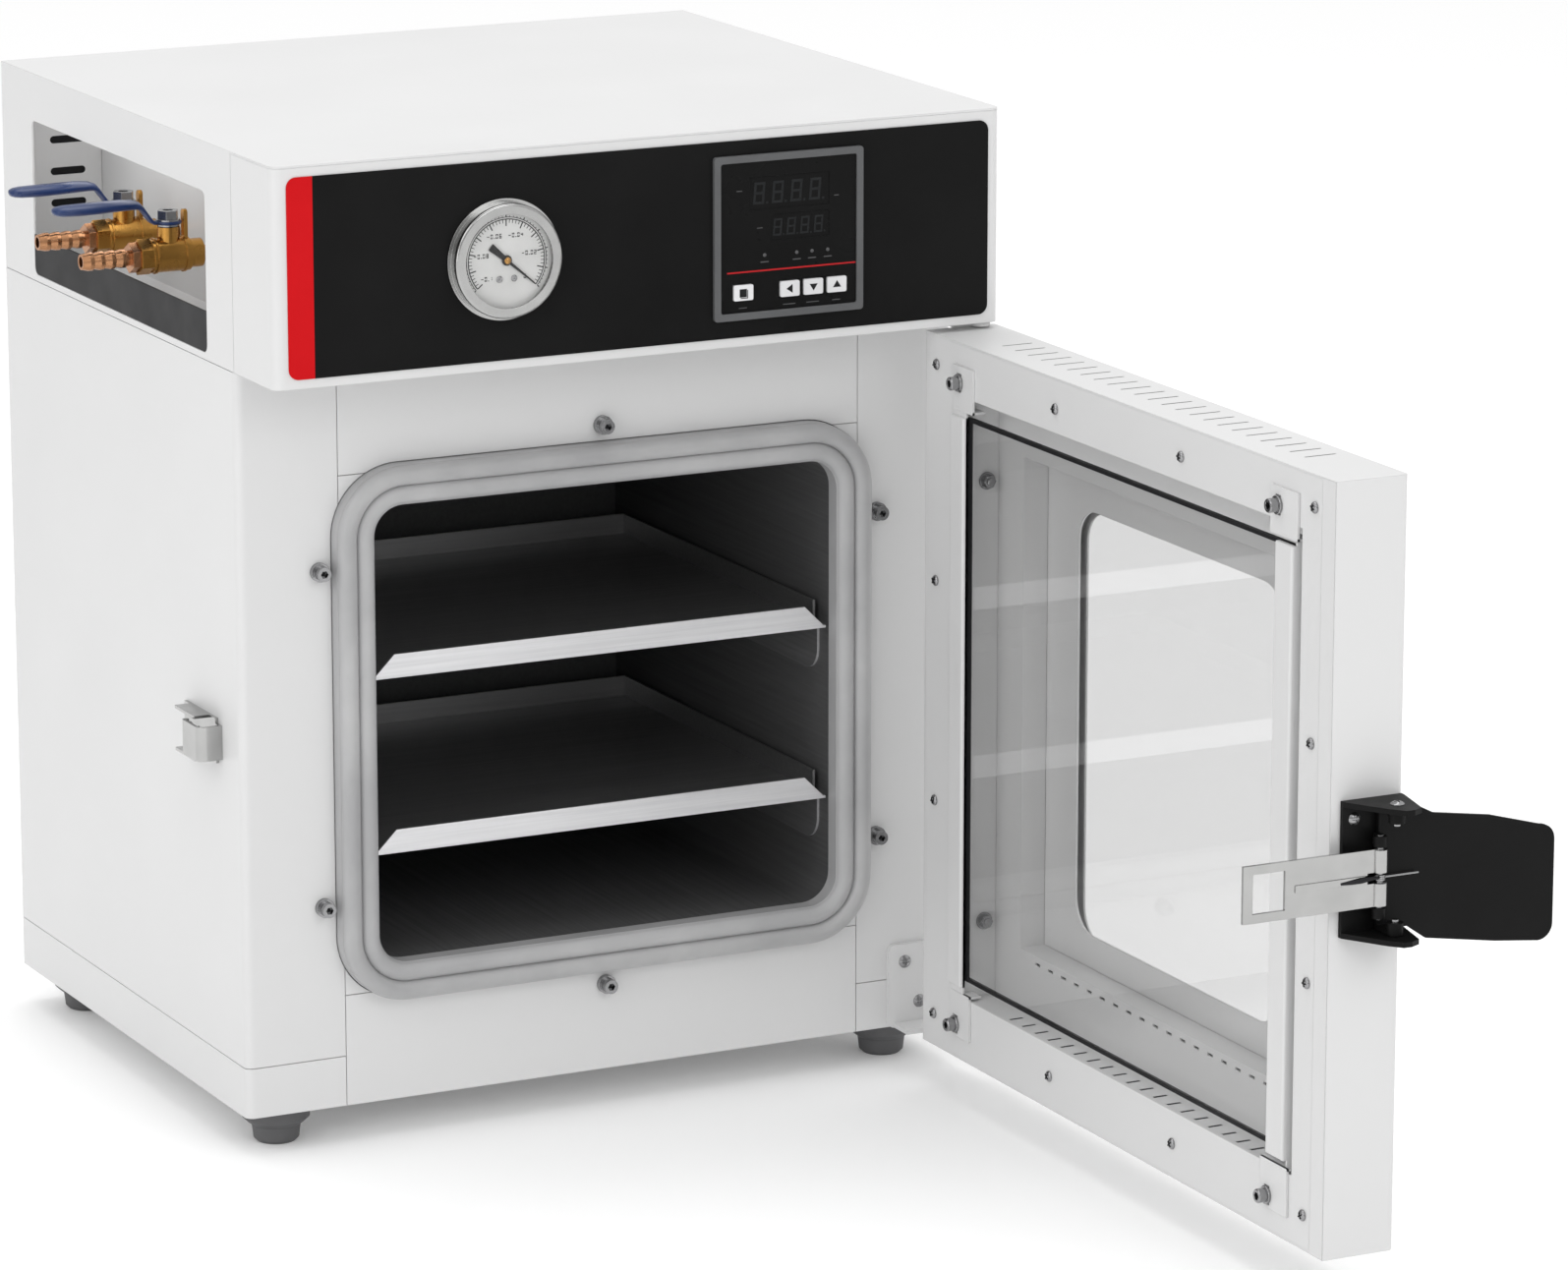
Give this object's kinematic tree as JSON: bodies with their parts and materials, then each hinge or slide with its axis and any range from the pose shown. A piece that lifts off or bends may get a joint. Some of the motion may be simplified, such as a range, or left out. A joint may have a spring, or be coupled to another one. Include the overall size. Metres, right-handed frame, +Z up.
{
  "type": "vacuum drying oven",
  "caption": "Bench-top vacuum drying oven with an open glazed door, shelves, gauge, temperature controller and side valves with hose barbs.",
  "frame": {"origin": "on the bench, at the centre of the four feet", "axes": "+X towards the hinge side (right seen from the front), -Y towards the front, +Z up"},
  "size_m": [0.603, 0.9165, 0.594],
  "materials": {
    "white_powder": "fine-textured powder coat",
    "galvanised": "plain zinc-coated sheet",
    "chamber_steel": "dull stainless sheet",
    "rail_steel": "plain stainless sheet",
    "shelf_steel": "brushed stainless sheet",
    "screw_steel": "bright zinc-plated steel",
    "nickel": "polished nickel plate",
    "gasket_silicone": "matt grey silicone",
    "black_rubber": "matt black rubber",
    "foot_rubber": "matt dark grey rubber",
    "mineral_wool": "pressed mineral wool",
    "heater": "silicone heater mat",
    "overlay_black": "satin black printed film",
    "strip_grey": "dark grey printed plate",
    "bezel_grey": "satin grey moulding",
    "case_black": "smooth black moulding",
    "button_grey": "satin light grey moulding",
    "latch_black": "fine-grained black moulding",
    "rocker_red": "smooth red moulding",
    "lens_glass": "clear glass",
    "door_glass": "clear toughened glass",
    "dial_white": "matt white dial with black scale",
    "needle_black": "matt black paint",
    "valve_brass": "machined brass",
    "barb_copper": "copper-tinted brass",
    "lever_blue": "glossy blue dipped vinyl over steel",
    "spring_steel": "dark spring wire"
  },
  "bodies": {
    "cabinet": {"base_pan": "white_powder", "left_casing": "white_powder", "right_casing": "white_powder", "front_plates": "white_powder", "mouth_plate": "white_powder", "rear_panel": "galvanised", "clamp_screws": "screw_steel", "chamber": "chamber_steel", "gasket": "gasket_silicone", "insulation": "mineral_wool", "heater_pads": "heater", "temperature_probe": "screw_steel", "shelf_rails": "rail_steel", "housing_floor": "galvanised", "housing_cover": "white_powder", "housing_rear": "galvanised", "fascia": "white_powder", "fascia_overlay": "overlay_black", "gauge_case": "spring_steel", "gauge_bezel": "nickel", "gauge_dial": "dial_white", "gauge_lens": "lens_glass", "controller_case": "case_black", "controller_bezel": "bezel_grey", "recess_tray": "white_powder", "recess_strip": "strip_grey", "vacuum_pipes": "valve_brass", "valve_bodies": "valve_brass", "hose_barbs": "barb_copper", "catch": "nickel", "hinge_brackets": "white_powder", "cabinet_screws": "screw_steel", "power_inlet": "case_black", "feet": "foot_rubber"},
    "door": {"door_shell": "white_powder", "door_liner": "white_powder", "outer_window": "door_glass", "inner_glass": "door_glass", "glass_edging": "black_rubber", "glass_bars": "white_powder", "corner_bolts": "screw_steel", "door_screws": "screw_steel", "hinge_bushes": "galvanised", "latch_base": "latch_black", "latch_screws": "screw_steel"},
    "latch_lever": {"latch_lever": "latch_black", "hasp_pin": "screw_steel"},
    "latch_hasp": {"latch_hasp": "nickel"},
    "gauge_needle": {"gauge_needle": "needle_black"},
    "button_set": {"button_set": "button_grey"},
    "button_left": {"button_left": "button_grey"},
    "button_down": {"button_down": "button_grey"},
    "button_up": {"button_up": "button_grey"},
    "upper_shelf": {"upper_shelf": "shelf_steel"},
    "lower_shelf": {"lower_shelf": "shelf_steel"},
    "front_valve": {"front_valve_lever": "lever_blue", "front_valve_stem": "screw_steel"},
    "rear_valve": {"rear_valve_lever": "lever_blue", "rear_valve_stem": "screw_steel"},
    "power_rocker": {"power_rocker": "rocker_red"}
  },
  "joints": [
    {"name": "door_hinge", "type": "hinge", "parent": "cabinet", "child": "door", "pos_m": [0.225, -0.234, 0.246], "axis": [0, 0, 1], "range_deg": [-90, 20]},
    {"name": "latch_lever_pivot", "type": "hinge", "parent": "door", "child": "latch_lever", "pos_m": [0.219, -0.716, 0.2495], "axis": [0, 0, -1], "range_deg": [0, 180]},
    {"name": "latch_hasp_pivot", "type": "hinge", "parent": "latch_lever", "child": "latch_hasp", "pos_m": [0.213, -0.709, 0.246], "axis": [0, 0, -1], "range_deg": [-162, 0]},
    {"name": "gauge_needle_turn", "type": "hinge", "parent": "cabinet", "child": "gauge_needle", "pos_m": [-0.0895, -0.2478, 0.531], "axis": [0, -1, 0], "range_deg": [0, 270]},
    {"name": "button_set_press", "type": "slide", "parent": "cabinet", "child": "button_set", "axis": [0, 1, 0], "range_m": [0, 0.0008], "stiffness_N_per_m": 600},
    {"name": "button_left_press", "type": "slide", "parent": "cabinet", "child": "button_left", "axis": [0, 1, 0], "range_m": [0, 0.0008], "stiffness_N_per_m": 600},
    {"name": "button_down_press", "type": "slide", "parent": "cabinet", "child": "button_down", "axis": [0, 1, 0], "range_m": [0, 0.0008], "stiffness_N_per_m": 600},
    {"name": "button_up_press", "type": "slide", "parent": "cabinet", "child": "button_up", "axis": [0, 1, 0], "range_m": [0, 0.0008], "stiffness_N_per_m": 600},
    {"name": "upper_shelf_slide", "type": "slide", "parent": "cabinet", "child": "upper_shelf", "axis": [0, -1, 0], "range_m": [0, 0.2]},
    {"name": "lower_shelf_slide", "type": "slide", "parent": "cabinet", "child": "lower_shelf", "axis": [0, -1, 0], "range_m": [0, 0.2]},
    {"name": "front_valve_turn", "type": "hinge", "parent": "cabinet", "child": "front_valve", "pos_m": [-0.205, -0.023, 0.5265], "axis": [0, 0, 1], "range_deg": [0, 90]},
    {"name": "rear_valve_turn", "type": "hinge", "parent": "cabinet", "child": "rear_valve", "pos_m": [-0.205, 0.048, 0.5265], "axis": [0, 0, -1], "range_deg": [0, 90]},
    {"name": "power_rocker_tilt", "type": "hinge", "parent": "cabinet", "child": "power_rocker", "pos_m": [0.17, 0.179, 0.107], "axis": [1, 0, 0], "range_deg": [0, 14]}
  ],
  "couplings": [
    {"joint": "latch_hasp_pivot", "follows": "latch_lever_pivot", "ratio": -0.9}
  ]
}
